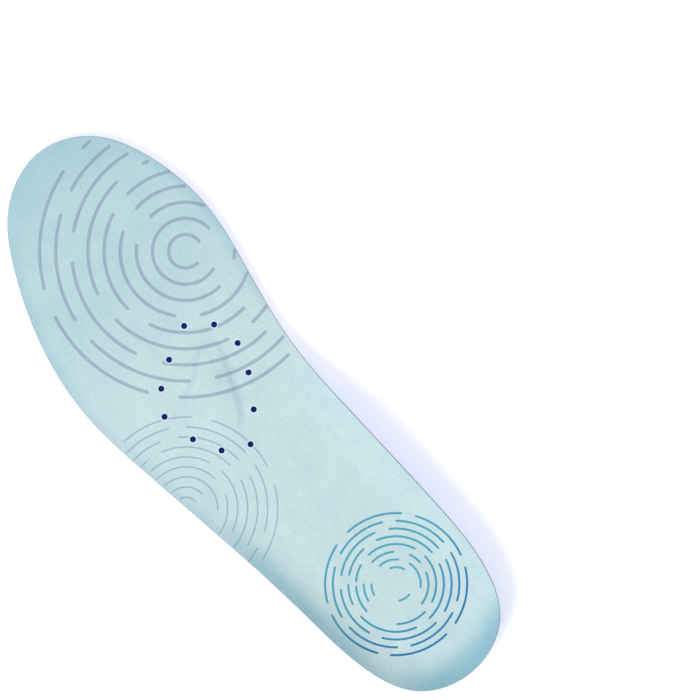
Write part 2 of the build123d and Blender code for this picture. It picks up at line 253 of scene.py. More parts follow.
def wall_lean(y):
    """How far the side wall leans in between the rim and the sole."""
    front = ease((-20 - y) / 40)
    lean = WAIST_LEAN + (HEEL_SIDE_LEAN - WAIST_LEAN) * ease((y - 70) / 30)
    lean += (HEEL_BACK_LEAN - lean) * ease((y - 118) / 18)
    return lean + (TOE_LEAN - lean) * front


def outward(edge):
    """Unit normals of a closed anticlockwise line, pointing out."""
    run = np.roll(edge, -1, axis=0) - np.roll(edge, 1, axis=0)
    run /= np.linalg.norm(run, axis=1)[:, None]
    return np.stack([run[:, 1], -run[:, 0]], axis=1)


OUT = outward(OUTLINE_EDGE)
RIM_Z = bed_height(OUTLINE_EDGE)


def wall_ring(drop):
    """The outline of a layer whose face lies a depth below the cover's, and its heights."""
    level = RIM_Z - drop
    shift = wall_lean(OUTLINE_EDGE[:, 1]) * (level / RIM_Z - 1)
    return OUTLINE_EDGE + OUT * shift[:, None], level


def sole_ring():
    return OUTLINE_EDGE - OUT * wall_lean(OUTLINE_EDGE[:, 1])[:, None]


def circle(centre, radius, count=20):
    return ellipse(centre, (radius, radius), 0, count)


def ellipse(centre, half, grow=0.0, count=96):
    turn = np.linspace(0, 2 * math.pi, count, endpoint=False)
    x = centre[0] + (half[0] + grow) * np.cos(turn)
    y = centre[1] + (half[1] + grow) * np.sin(turn)
    return np.stack([x, y], axis=1)


def hexagon(centre, apothem, angle=0.0):
    """Six corners, with two sides square to the angle."""
    turn = np.radians(angle + 30 + 60 * np.arange(6))
    r = apothem / math.cos(math.radians(30))
    return np.stack([centre[0] + r * np.cos(turn), centre[1] + r * np.sin(turn)], axis=1)


def grown(edge, gap):
    """A closed line moved out by a gap, or in where it is negative."""
    return edge + outward(edge) * gap


# ---- meshes ----
def triangulated(outer, loops=(), holes=(), loose=None, open_lines=()):
    """A flat triangle mesh inside the outer loop and outside the holes, with every given line as edges."""
    points, edges = [], []
    for loop in (outer, *loops, *holes):
        first = len(points)
        points.extend(map(tuple, loop))
        edges.extend((first + i, first + (i + 1) % len(loop)) for i in range(len(loop)))
    for line in open_lines:
        first = len(points)
        points.extend(map(tuple, line))
        edges.extend((first + i, first + i + 1) for i in range(len(line) - 1))
    if loose is not None and len(loose):
        points.extend(map(tuple, loose))
    cdt = delaunay_2d_cdt([Vector(p) for p in points], edges, [], 0, 1e-5)
    xy = np.array([tuple(v) for v in cdt[0]])
    faces = np.array(cdt[2])
    middle = xy[faces].mean(1)
    keep = inside_depth(np.asarray(outer), middle) > 0
    for hole in holes:
        near = np.hypot(*(middle - hole.mean(0)).T) < np.hypot(*(hole - hole.mean(0)).T).max()
        keep[near] &= inside_depth(hole, middle[near]) < 0
    return xy, faces[keep]


def grid(edge, spacing, margin, avoid=()):
    """Loose points on a triangular grid inside an edge, clear of the given lines."""
    low, high = edge.min(0), edge.max(0)
    places = []
    rise = spacing * 0.866  # rows of equal-sided triangles
    for row in range(int((high[1] - low[1]) / rise) + 1):
        y = low[1] + row * rise
        shift = spacing * 0.5 * (row % 2)
        for x in np.arange(low[0] + shift, high[0], spacing):
            places.append((x, y))
    places = np.array(places)
    places = places[inside_depth(edge, places) > margin]
    for line in avoid:
        line = np.asarray(line)
        lo, hi = line.min(0) - margin, line.max(0) + margin
        near = np.all((places > lo) & (places < hi), axis=1)
        if near.any():
            gap = np.abs(inside_depth(line, places[near]))
            drop = np.flatnonzero(near)[gap < margin]
            places = np.delete(places, drop, axis=0)
    return places


def piece(name, verts, faces, materials, smooth=40.0, indices=None):
    """A mesh object in metres, from points in millimetres."""
    mesh = bpy.data.meshes.new(name)
    mesh.from_pydata([tuple(v) for v in np.asarray(verts) * MM], [], [tuple(map(int, f)) for f in faces])
    for material in materials:
        mesh.materials.append(material)
    if indices is not None:
        mesh.polygons.foreach_set("material_index", np.asarray(indices, np.int32))
    bm = bmesh.new()
    bm.from_mesh(mesh)
    bmesh.ops.remove_doubles(bm, verts=bm.verts, dist=WELD)
    bmesh.ops.dissolve_degenerate(bm, edges=bm.edges, dist=WELD)
    bmesh.ops.recalc_face_normals(bm, faces=bm.faces)
    bm.to_mesh(mesh)
    bm.free()
    flat = mesh.uv_layers.new(name="flat")
    at = np.empty(len(mesh.vertices) * 3)
    mesh.vertices.foreach_get("co", at)
    corner = np.empty(len(mesh.loops), np.int32)
    mesh.loops.foreach_get("vertex_index", corner)
    uv = at.reshape(-1, 3)[corner][:, :2] / UV_SPAN + 0.5
    flat.data.foreach_set("uv", uv.astype(np.float32).ravel())
    mesh.shade_smooth()
    mesh.set_sharp_from_angle(angle=math.radians(smooth))
    obj = bpy.data.objects.new(name, mesh)
    bpy.context.collection.objects.link(obj)
    return obj


def border(faces):
    """Directed border edges of a triangle mesh."""
    edges = np.concatenate([faces[:, [0, 1]], faces[:, [1, 2]], faces[:, [2, 0]]])
    known = {(int(a), int(b)) for a, b in edges}
    return [(a, b) for a, b in known if (b, a) not in known]


def thickened(xy, faces, high, low, low_xy=None):
    """A closed solid between two heights over the same flat mesh, or with the lower points elsewhere."""
    n = len(xy)
    under = xy if low_xy is None else low_xy
    verts = np.concatenate([np.column_stack([xy, high]), np.column_stack([under, low])])
    walls = [(a, b, b + n, a + n) for a, b in border(faces)]
    return verts, [*map(tuple, faces), *[(a + n, c + n, b + n) for a, b, c in faces], *walls]


def bridge(lower, upper):
    """Quads between two rings of points numbered alike."""
    n = len(lower)
    return [(lower[i], lower[(i + 1) % n], upper[(i + 1) % n], upper[i]) for i in range(n)]


# ---- materials ----
def material(name):
    made = bpy.data.materials.new(name)
    made.use_nodes = True
    return made, made.node_tree, made.node_tree.nodes["Principled BSDF"]


def add_node(tree, kind):
    return tree.nodes.new("ShaderNode" + kind)


def tune(node, settings):
    """Set a node's sockets by name."""
    for name, value in settings.items():
        node.inputs[name].default_value = value


def linear(*rgb):
    """A screen colour, 0 to 255, as the linear colour that a shader takes."""
    share = [c / 255 for c in rgb]
    return (*[c / 12.92 if c <= 0.04045 else ((c + 0.055) / 1.055) ** 2.4 for c in share], 1.0)


def noise(tree, scale, detail, vector, roughness=0.5):
    made = add_node(tree, "TexNoise")
    tune(made, {"Scale": scale, "Detail": detail, "Roughness": roughness})
    tree.links.new(vector, made.inputs["Vector"])
    return made.outputs["Fac"]


def ramp(tree, value, stops):
    made = add_node(tree, "ValToRGB")
    made.color_ramp.elements.remove(made.color_ramp.elements[1])
    for i, (at, colour) in enumerate(stops):
        stop = made.color_ramp.elements[0] if i == 0 else made.color_ramp.elements.new(at)
        stop.position = at
        stop.color = colour
    tree.links.new(value, made.inputs["Fac"])
    return made.outputs["Color"]


def feed(tree, socket, value):
    """Link an output to a socket, or set the socket to a plain value."""
    if isinstance(value, (int, float, tuple)):
        socket.default_value = value
    else:
        tree.links.new(value, socket)


def math_node(tree, operation, a, b):
    made = add_node(tree, "Math")
    made.operation = operation
    feed(tree, made.inputs[0], a)
    feed(tree, made.inputs[1], b)
    return made.outputs[0]


def mixed(tree, factor, a, b, blend_type="MIX"):
    made = add_node(tree, "Mix")
    made.data_type = "RGBA"
    made.blend_type = blend_type
    for slot, value in ((0, factor), (6, a), (7, b)):
        feed(tree, made.inputs[slot], value)
    return made.outputs[2]


def toned(tree, base, value, share, low, high, span=(0.3, 0.7)):
    """A colour multiplied by a tone that rises with a value, from low to high over a span of it."""
    tone = ramp(tree, value, [(span[0], (*low, 1)), (span[1], (*high, 1))])
    return mixed(tree, share, base, tone, "MULTIPLY")


def bump(tree, shader, height, strength, distance):
    made = add_node(tree, "Bump")
    tune(made, {"Strength": strength, "Distance": distance})
    tree.links.new(height, made.inputs["Height"])
    tree.links.new(made.outputs["Normal"], shader.inputs["Normal"])
    tree.links.new(made.outputs["Normal"], shader.inputs["Coat Normal"])


def attribute(tree, name):
    made = add_node(tree, "Attribute")
    made.attribute_name = name
    return made.outputs["Fac"]


def weave(tree):
    """Height of a fine two-way knit, over the flat pattern."""
    flat = add_node(tree, "UVMap")
    flat.uv_map = "flat"
    lines = []
    for direction in ("X", "Y"):
        wave = add_node(tree, "TexWave")
        wave.bands_direction = direction
        scale = UV_SPAN * WAVE_PERIOD / YARN
        tune(wave, {"Scale": scale, "Distortion": 1.2, "Detail": 1.0, "Detail Scale": 3.0})
        tree.links.new(flat.outputs["UV"], wave.inputs["Vector"])
        lines.append(wave.outputs["Fac"])
    return math_node(tree, "MULTIPLY", lines[0], lines[1]), flat.outputs["UV"]


def cloth(name, colour, painted_shade):
    """Knit that goes from its own colour to a second, deeper colour of painted shade where the mesh's shade
    attribute says so.
    """
    made, tree, shader = material(name)
    threads, uv = weave(tree)
    # painted shade: the knit darkens to its second colour where the mesh's shade attribute is high
    shade = attribute(tree, "painted_slope_shade")
    base = mixed(tree, shade, linear(*colour), linear(*painted_shade))
    mottle = noise(tree, 420, 3, uv, 0.65)
    base = toned(tree, base, mottle, 0.6, (0.82, 0.83, 0.84), (1.13, 1.13, 1.12))
    cloud = noise(tree, 26, 3, uv, 0.55)
    base = toned(tree, base, cloud, 0.6, (0.90, 0.94, 0.96), (1.06, 1.04, 1.03))
    drawn = add_node(tree, "Mapping")
    tune(drawn, {"Scale": (1.0, 0.12, 1.0)})
    tree.links.new(uv, drawn.inputs["Vector"])
    streaks = noise(tree, 260, 3, drawn.outputs["Vector"], 0.6)
    base = toned(tree, base, streaks, 0.5, (0.90, 0.93, 0.94), (1.06, 1.05, 1.04))
    base = toned(tree, base, threads, 0.6, (0.90, 0.91, 0.92), (1.03, 1.03, 1.03), (0.0, 0.6))
    tree.links.new(base, shader.inputs["Base Color"])
    tune(shader, {"Roughness": 0.82, "Sheen Weight": 0.12, "Sheen Roughness": 0.5})
    tune(shader, {"Specular IOR Level": 0.25})
    fuzz = noise(tree, 700, 2, uv)
    height = math_node(tree, "ADD", threads, math_node(tree, "MULTIPLY", fuzz, 0.6))
    bump(tree, shader, height, 0.35, 0.00018)
    return made


def heel_ink(name):
    """The ring print of the heel: teal in the middle and bluer outside."""
    made, tree, shader = material(name)
    threads, _ = weave(tree)
    ring = attribute(tree, "ring")
    base = mixed(tree, ring, linear(84, 178, 198), linear(16, 126, 184))
    base = toned(tree, base, threads, 0.7, (0.82, 0.84, 0.86), (1.05, 1.05, 1.05), (0.0, 0.6))
    tree.links.new(base, shader.inputs["Base Color"])
    tune(shader, {"Roughness": 0.7})
    bump(tree, shader, threads, 0.3, 0.00015)
    return made


def foam_material():
    made, tree, shader = material("foam_grey")
    place = add_node(tree, "TexCoord").outputs["Object"]
    cells = add_node(tree, "TexVoronoi")
    tune(cells, {"Scale": 3200})
    tree.links.new(place, cells.inputs["Vector"])
    greys = [(0.0, linear(168, 172, 182)), (0.6, linear(206, 208, 216))]
    base = ramp(tree, cells.outputs["Distance"], greys)
    tree.links.new(base, shader.inputs["Base Color"])
    tune(shader, {"Roughness": 0.85})
    bump(tree, shader, cells.outputs["Distance"], 0.4, 0.0002)
    return made


def gel_material(name, body, thin_gel_and_highlight, rough=0.2, ripple=500, waves=0.14, gloss=0.3):
    """Coloured gel: deep where it is thick, lighter where the mesh marks thin gel and painted highlights,
    and dark navy where it marks painted shade.
    """
    made, tree, shader = material(name)
    place = add_node(tree, "TexCoord").outputs["Object"]
    # lighter where the gel is thin, and where the mesh carries a painted highlight
    thinness_and_highlight = attribute(tree, "thin_gel_and_highlight")
    cloud = noise(tree, 60, 3, place)
    base = mixed(tree, thinness_and_highlight, linear(*body), linear(*thin_gel_and_highlight))
    base = toned(tree, base, cloud, 0.5, (0.90, 0.92, 0.94), (1.06, 1.05, 1.04))
    # painted shade: dark navy where the mesh marks recesses, dimples and gaps
    base = mixed(tree, attribute(tree, "painted_shade"), base, linear(6, 22, 112))
    tree.links.new(base, shader.inputs["Base Color"])
    tune(shader, {"Subsurface Weight": 0.12, "Subsurface Radius": (0.25, 0.6, 1.0)})
    tune(shader, {"Subsurface Scale": 0.002, "Specular IOR Level": 0.1})
    tune(shader, {"Roughness": rough, "Coat Weight": gloss, "Coat Roughness": rough / 2})
    fine = noise(tree, ripple, 2, place)
    bump(tree, shader, fine, waves, 0.12 / ripple)
    return made


def vent_material():
    made, _, shader = material("vent_blue")
    tune(shader, {"Base Color": linear(6, 66, 216), "Roughness": 0.25, "Specular IOR Level": 0.2})
    tune(shader, {"Coat Weight": 0.4, "Coat Roughness": 0.05})
    return made


def shell_material():
    made, tree, shader = material("shell_grey")
    place = add_node(tree, "TexCoord").outputs["Object"]
    grain = noise(tree, 1500, 4, place, 0.6)
    cloud = noise(tree, 35, 2, place)
    base = ramp(tree, cloud, [(0.3, linear(140, 147, 145)), (0.7, linear(150, 157, 154))])
    # painted shade: darker along the ribs' edges and in the engraved lines
    base = mixed(tree, attribute(tree, "groove"), base, linear(70, 76, 74))
    tree.links.new(base, shader.inputs["Base Color"])
    tune(shader, {"Specular IOR Level": 0.3})
    rough = ramp(tree, grain, [(0.3, (0.36, 0.36, 0.36, 1)), (0.7, (0.5, 0.5, 0.5, 1))])
    tree.links.new(rough, shader.inputs["Roughness"])
    bump(tree, shader, grain, 0.18, 0.0001)
    return made


def honeycomb_material():
    made, tree, shader = material("honeycomb_blue")
    place = add_node(tree, "TexCoord").outputs["Object"]
    # painted light and shade: the cell walls' crests lighter, the cell floors darker
    level = attribute(tree, "thin_gel_and_highlight")
    base = mixed(tree, level, linear(0, 50, 146), linear(44, 92, 172))
    tree.links.new(base, shader.inputs["Base Color"])
    tune(shader, {"Roughness": 0.34, "Coat Weight": 0.2, "Coat Roughness": 0.2})
    bump(tree, shader, noise(tree, 1200, 3, place), 0.15, 0.0001)
    return made


# ---- textile cover with its print ----
# A print is rings about a centre: the first one's radius, the step to the next, the width of the line,
# and for each ring from the innermost the stretches that are printed, in degrees.
BIG_RINGS = {"centre": (-28.3, -69), "first": 7.0, "step": 6.7, "width": 1.4, "spans": [
    [(175, 455)],
    [(184, 466)],
    [(-48, 93), (207, 274), (131, 140)],
    [(63, 120), (-58, 40), (230, 278)],
    [(23, 95), (-68, 4), (240, 274)],
    [(93, 108), (4, 75), (-86, -15), (252, 255)],
    [(38, 94), (-35, 23), (-100, -51)],
    [(63, 98), (3, 51), (-57, -9), (-95, -69)],
    [(47, 94), (-14, 34), (-74, -26), (-90, -86)],
]}
FINE_RINGS = {"centre": (41.2, 12), "first": 4.8, "step": 4.14, "width": 0.62, "spans": [
    [(180, 260)],
    [(180, 272)],
    [(137, 272)],
    [(102, 159), (185, 275)],
    [(114, 186), (203, 272)],
    [(101, 166), (184, 253), (269, 276)],
    [(109, 166), (182, 236), (251, 277)],
    [(98, 110), (123, 171), (183, 229), (242, 276)],
    [(106, 154), (167, 213), (226, 272)],
]}
HEEL_RINGS = {"centre": (-4.2, 92.5), "first": 7.0, "step": 3.2, "width": 0.9, "spans": [
    [(60, 100), (200, 250)],
    [(132, 195), (224, 271), (-40, -14)],
    [(102, 160), (181, 204), (234, 276), (-40, -10)],
    [(-37, 2), (201, 272), (113, 183), (51, 95), (-69, -45)],
    [(2, 74), (-40, -16), (-88, -52), (181, 253), (94, 164)],
    [(35, 95), (-35, 20), (-108, -50), (180, 236), (110, 165)],
    [(63, 112), (2, 50), (-56, -10), (-118, -70), (181, 229), (124, 169)],
    [(106, 153), (45, 94), (-15, 34), (-74, -26), (-135, -88), (164, 213)],
]}
PRINTS = (BIG_RINGS, FINE_RINGS, HEEL_RINGS)


def print_strips(rings):
    """The outlines of a print's arcs."""
    strips = []
    centre, width = np.array(rings["centre"]), rings["width"]
    for k, spans in enumerate(rings["spans"]):
        radius = rings["first"] + rings["step"] * k
        for first, last in spans:
            count = max(3, int(abs(last - first) * radius / 110) + 2)
            turn = np.radians(np.linspace(first, last, count))
            arcs = []
            for r in (radius + width / 2, radius - width / 2):
                arcs.append(centre + r * np.stack([np.cos(turn), np.sin(turn)], axis=1))
            caps = []
            for at, side in ((turn[-1], 1), (turn[0], -1)):
                end = centre + radius * np.array([math.cos(at), math.sin(at)])
                lean = at + side * np.radians([45, 90, 135])
                caps.append(end + width / 2 * np.stack([np.cos(lean), np.sin(lean)], axis=1))
            strips.append(np.concatenate([arcs[0], caps[0], arcs[1][::-1], caps[1][::-1]]))
    return strips


def printed(rings, xy):
    """Which points lie on a print, and how far out their ring is, from 0 to 1."""
    away = xy - np.array(rings["centre"])
    r = np.hypot(*away.T)
    angle = np.degrees(np.arctan2(away[:, 1], away[:, 0]))
    ring = np.rint((r - rings["first"]) / rings["step"]).astype(int)
    near = np.abs(r - rings["first"] - rings["step"] * ring) < rings["width"] / 2
    hit = np.zeros(len(xy), bool)
    for k, spans in enumerate(rings["spans"]):
        here = near & (ring == k)
        radius = rings["first"] + rings["step"] * k
        for first, last in spans:
            hit |= here & ((angle - first) % 360 < last - first)
            for turn in np.radians((first, last)):
                end = radius * np.array([math.cos(turn), math.sin(turn)])
                hit |= np.hypot(*(away - end).T) < rings["width"] * 0.46
    return hit, np.clip(ring / (len(rings["spans"]) - 1), 0, 1)


METATARSAL_EDGE = closed_curve(METATARSAL_OUTLINE, 120)


def slope_shade(xy):
    """How much painted shade the cover takes: on the heel cup's rim, the outer side and the toe where it
    slopes away from the light, a little over the ball, and along the creases at the metatarsal pad's edge.
    """
    depth = inside_depth(OUTLINE_EDGE, xy)
    heel = ease((xy[:, 1] - 118) / 16) * ease((16 - depth) / 14)
    side = ease((xy[:, 0] - 19) / 12) * ease((xy[:, 1] - 20) / 30) * ease((11 - depth) / 9) * 0.7
    ball = ease((-30 - xy[:, 1]) / 50) * 0.25
    toe = ball + ease((-95 - xy[:, 1]) / 45) * ease((26 - depth) / 22) * 0.35
    arch = ease((-10 - xy[:, 0]) / 10) * ease((xy[:, 1] + 40) / 20)
    rim = ease((6 - depth) / 6) * 0.3 * (1 - arch)
    pad = inside_depth(METATARSAL_EDGE, xy)
    outer_side = ease((xy[:, 0] + 2) / 6) * ease((xy[:, 1] + 24) / 6)
    # painted shade along the creases at the metatarsal pad's edge
    crease = 0.36 * np.exp(-((pad / 1.3) ** 2)) * (1 - outer_side) * ease((xy[:, 1] + 38) / 5)
    return np.clip(np.maximum.reduce([heel, side, toe, ball + rim]) + crease, 0, 1)


def add_attribute(obj, name, values):
    made = obj.data.attributes.new(name, "FLOAT", "POINT")
    made.data.foreach_set("value", np.asarray(values, np.float32))


def points_of(obj):
    at = np.empty(len(obj.data.vertices) * 3)
    obj.data.vertices.foreach_get("co", at)
    return at.reshape(-1, 3) / MM


def vent_loops(radius=VENT_R):
    return [circle(centre, radius) for centre in VENTS]


def vent_distance(xy):
    """Distance to the middle of the nearest vent."""
    return np.min([np.hypot(xy[:, 0] - x, xy[:, 1] - y) for x, y in VENTS], axis=0)


def in_vents(verts, faces):
    """Which faces lie in a vent."""
    middle = np.array([np.mean([verts[i][:2] for i in face], axis=0) for face in faces])
    return vent_distance(middle) < VENT_R + 0.05


def pad_crease(xy):
    """The cover is drawn over the metatarsal rise: its three-cornered edge shows as soft creases."""
    near = np.hypot(*(xy - np.array(METATARSAL_CENTRE)).T) < 40
    lift = np.zeros(len(xy))
    depth = inside_depth(METATARSAL_EDGE, xy[near])
    lift[near] = 0.3 * ease((depth + 2) / 4) - 0.1 * np.exp(-(((depth + 2.4) / 1.8) ** 2))
    return lift


def make_cover():
    edge = grown(wall_ring(0)[0], -COVER_SETBACK)
    vents = vent_loops()
    strips = [strip for rings in PRINTS for strip in print_strips(rings)]
    strips = [strip for strip in strips if (inside_depth(edge, strip) > -30).any()]
    strips += vent_loops(VENT_R + HALO)
    loose = grid(edge, MESH_STEP, 0.7, vents)
    outside = np.hypot(*(loose - np.array(METATARSAL_CENTRE)).T) >= PAD_ZONE
    fine = grid(circle(METATARSAL_CENTRE, PAD_ZONE, 60), FINE_STEP, 0.3, vents)
    xy, faces = triangulated(edge, strips, vents, np.concatenate([loose[outside], fine]))
    used = np.unique(faces)
    renumber = np.full(len(xy), -1)
    renumber[used] = np.arange(len(used))
    xy, faces = xy[used], renumber[faces]
    high = bed_height(xy) + pad_crease(xy)
    verts, solid = thickened(xy, faces, high, bed_height(xy) - COVER_T)
    middle = xy[faces].mean(1)
    face, walls = slice(0, len(faces)), slice(2 * len(faces), None)
    lilac_ink, teal_ink, cut_edge, vent_wall = range(1, 5)  # places in the list of looks
    index = np.zeros(len(solid), np.int32)
    for rings, ink in zip(PRINTS, (lilac_ink, lilac_ink, teal_ink)):
        index[face][printed(rings, middle)[0]] = ink
    index[face][vent_distance(middle) < VENT_R + HALO] = cut_edge
    index[walls] = cut_edge
    index[walls][in_vents(verts, solid[walls])] = vent_wall
    # the second colour of each knit is its painted shade
    skin = cloth("cover_knit", (210, 234, 236), (155, 202, 216))
    lilac = cloth("cover_ink_lilac", (172, 192, 208), (146, 174, 196))
    cut = cloth("cover_cut_edge", (226, 246, 252), (206, 224, 236))
    looks = [skin, lilac, heel_ink("cover_ink_teal"), cut, vent_material()]
    cover = piece("cover_cloth", verts, solid, looks, 50, index)
    at = points_of(cover)[:, :2]
    # painted shade over the cover
    add_attribute(cover, "painted_slope_shade", slope_shade(at))
    towards_heel = 0.25 + 0.75 * ease((at[:, 1] - 80) / 34)
    add_attribute(cover, "ring", printed(HEEL_RINGS, at)[1] * towards_heel)
    return cover


def make_foam():
    """The foam sheet: only its cut edge and the walls of its vents show."""
    edge = OUTLINE_EDGE
    vents = vent_loops(VENT_R - 0.03)  # a hair narrower than the cover's
    xy, faces = triangulated(edge, (), vents, grid(edge, LAYER_STEP, 1.2, vents))
    high = bed_height(xy) - COVER_T - SEAT / 2
    under = xy.copy()
    under[: len(edge)] = wall_ring(COVER_T + FOAM_T)[0]
    verts, solid = thickened(xy, faces, high, high - FOAM_T + SEAT, under)
    looks = in_vents(verts, solid).astype(np.int32)
    return piece("foam_layer", verts, solid, [foam_material(), vent_material()], 40, looks)


# ---- gel base ----
def arc_side(line, offset):
    """An open line moved to one side."""
    run = np.gradient(line, axis=0)
    run /= np.linalg.norm(run, axis=1)[:, None]
    return line + np.stack([-run[:, 1], run[:, 0]], axis=1) * offset


def toe_line(count=60):
    """The step round the toe, as a smooth open line, from the arch side to the outer side."""
    closed = closed_curve([*TOE_LINE, (0, -60)], 600)
    closed = np.roll(closed, -300, axis=0)  # so that the stretch round the toe is in one piece
    ahead = closed[closed[:, 1] < TOE_LINE_END]
    return ahead[np.linspace(0, len(ahead) - 1, count).astype(int)]


def relief(levels, xy):
    """Height of the gel's underside: 0 on the sole, and up into each recess over a narrow wall."""
    z = np.zeros(len(xy))
    for edge, depth, wall in levels:
        z = np.maximum(z, depth * np.clip(inside_depth(edge, xy) / wall + 0.5, 0, 1))
    return z


SHELL_EDGE = closed_curve(SHELL, 300)
FOREFOOT_EDGE = closed_curve(FOREFOOT_PAD, 260)
HOLLOW_EDGE = closed_curve(HOLLOW, 80)


def toe_outside(xy):
    """Distance outside the toe's step line, positive towards the edge."""
    line = toe_line(120)
    side, heel = 60, 200
    behind = [(side, line[-1][1]), (side, heel), (-side, heel), (-side, line[0][1])]
    return -inside_depth(np.concatenate([line, behind]), xy)


def make_gel():
    sole = sole_ring()
    shell_hole = grown(SHELL_EDGE, SHELL_GAP)
    forefoot_hole = grown(FOREFOOT_EDGE, FOREFOOT_GROOVE)
    heel_hole = ellipse(HEEL_CENTRE, HEEL_HALF)
    button_hole = ellipse(BUTTON_CENTRE, BUTTON_HALF, -BUTTON_GAP / 2, 60)
    recesses = [
        (shell_hole, SHELL_T, WALL),
        (heel_hole, POCKET_FLOOR, WALL),
        (button_hole, POCKET_FLOOR, WALL),
        (forefoot_hole, FOREFOOT_FLOOR, WALL),
        (HOLLOW_EDGE, HOLLOW_DEPTH, HOLLOW_WALL),
    ]
    vents = vent_loops(VENT_R - 0.02)
    loops = [circle(centre, DIMPLE_R + more, 16) for centre in VENTS for more in (0.6, 0.15, -0.1, -0.6)]
    loops += [grown(sole, -SOLE_ROUND * share) for share in (0.35, 1)]
    loops += [grown(HOLLOW_EDGE, gap) for gap in (-1.2, 1.2)]
    for edge, _, wall in recesses:
        loops += [grown(edge, wall / 2), grown(edge, -wall / 2)]
    step = toe_line()
    lines = [arc_side(step, side) for side in (-1.2, -STEP_WALL, 0, STEP_WALL)]
    lines = [line[inside_depth(sole, line) > 1.1] for line in lines]
    loose = grid(sole, MESH_STEP, 0.6, loops)
    loose = loose[np.abs(toe_outside(loose)) > 1.4]
    xy, faces = triangulated(sole, loops, (), loose, lines)
    skin = np.clip(inside_depth(sole, xy) / 0.25, 0, 1)  # the gel closes round the shell's edge
    z = np.maximum(relief(recesses, xy) * skin, TOE_STEP * np.clip(toe_outside(xy) / STEP_WALL, 0, 1))
    z = np.maximum(z, DIMPLE_DEPTH * np.clip((DIMPLE_R + 0.15 - vent_distance(xy)) / 0.25, 0, 1))
    z += 0.3 * np.clip(1 - inside_depth(sole, xy) / SOLE_ROUND, 0, 1) ** 2
    top_ring, top_z = wall_ring(COVER_T + FOAM_T)
    mouths = [*vents, *vent_loops(VENT_R - 0.16)]
    top_xy, top_faces = triangulated(top_ring, mouths, (), grid(top_ring, LAYER_STEP, 1.2, vents))
    top_height = bed_height(top_xy) - COVER_T - FOAM_T
    top_height[vent_distance(top_xy) < VENT_R - 0.1] = VENT_FLOOR
    verts = [np.column_stack([xy, z]), np.column_stack([top_xy, top_height])]
    offset = len(xy)
    quads = []
    # side wall, in rows that bulge a little
    n = len(sole)
    rows = 7
    lower = list(range(n))
    count = len(xy) + len(top_xy)
    foot_z = z[:n]
    for row in range(1, rows):
        share = row / rows
        bulge = 0.25 + 0.7 * ease((RIM_Z[:, None] - 5) / 8)
        ring = sole + (top_ring - sole) * share + OUT * bulge * math.sin(math.pi * share)
        level = foot_z + (top_z - foot_z) * share
        verts.append(np.column_stack([ring, level]))
        upper = list(range(count, count + n))
        quads += bridge(lower, upper)
        lower, count = upper, count + n
    quads += bridge(lower, list(range(offset, offset + n)))
    under = [(a, c, b) for a, b, c in faces]
    over = [(a + offset, b + offset, c + offset) for a, b, c in top_faces]
    verts, solid = np.concatenate(verts), [*under, *over, *quads]
    looks = np.zeros(len(solid), np.int32)
    looks[len(under) : len(under) + len(over)] = in_vents(verts, over)
    body = gel_material("gel_blue", (0, 90, 212), (10, 126, 226))
    gel = piece("gel_body", verts, solid, [body, vent_material()], 35, looks)
    at = points_of(gel)
    flat, z = at[:, :2], at[:, 2]
    below = z < POCKET_FLOOR + 0.1
    vent, step, hollow = vent_distance(flat), toe_outside(flat), inside_depth(HOLLOW_EDGE, flat)
    wall = 0.8 * ease((1.2 - inside_depth(sole, flat)) / 1.6) * ease((z + 0.4) / 1.6)
    # painted highlight: a light ring round the lip of each dimple
    painted_lip_highlight = 0.7 * np.clip(1 - np.abs(vent - DIMPLE_R - 0.15) / 0.3, 0, 1)
    shelf = 0.3 * (step > STEP_WALL + 0.1)
    # thin gel on the side wall and the toe's shelf, with the painted highlight round the dimples
    add_attribute(gel, "thin_gel_and_highlight", np.maximum.reduce([wall, painted_lip_highlight * below, shelf]))
    # painted shade: dark navy in the dimples, on the hollow's wall and floor, on the toe step's wall and in
    # the gap round the shell
    painted_shade = 0.45 * (vent < DIMPLE_R)
    painted_shade = np.maximum(painted_shade, np.where(np.abs(hollow) < HOLLOW_WALL / 2 + 0.05, 0.24, 0.12 * (hollow > 0)))
    painted_shade = np.maximum(painted_shade, 0.3 * ((step > -0.05) & (step < STEP_WALL + 0.05)))
    pocket = (inside_depth(shell_hole, flat) > -0.2) & (inside_depth(sole, flat) > 0.3) & (z > 0.02)
    painted_shade = np.maximum(painted_shade, pocket)
    add_attribute(gel, "painted_shade", painted_shade * below)
    return gel


# ---- honeycomb heel pad ----
def clipped(polygon, convex):
    """The part of a polygon inside a convex anticlockwise one."""
    for i in range(len(convex)):
        a, b = convex[i], convex[(i + 1) % len(convex)]
        side = (b[0] - a[0]) * (polygon[:, 1] - a[1]) - (b[1] - a[1]) * (polygon[:, 0] - a[0])
        kept = []
        for j in range(len(polygon)):
            p, q, s, t = polygon[j], polygon[(j + 1) % len(polygon)], side[j], side[(j + 1) % len(polygon)]
            if s >= 0:
                kept.append(p)
            if (s >= 0) != (t >= 0):
                kept.append(p + (q - p) * s / (s - t))
        if len(kept) < 3:
            return None
        polygon = np.array(kept)
    return polygon


def area(polygon):
    x, y = polygon.T
    return 0.5 * abs(np.dot(x, np.roll(y, -1)) - np.dot(y, np.roll(x, -1)))


def hex_lattice(pitch, angle, reach):
    centres = []
    rise = pitch * math.sin(math.radians(60))
    rows = int(reach / rise) + 1
    turn = math.radians(angle)
    for row in range(-rows, rows + 1):
        for column in range(-2 * rows, 2 * rows + 1):
            x, y = pitch * (column + row / 2), rise * row
            if x * x + y * y < reach * reach:
                across = x * math.cos(turn) - y * math.sin(turn)
                centres.append((across, x * math.sin(turn) + y * math.cos(turn)))
    return centres


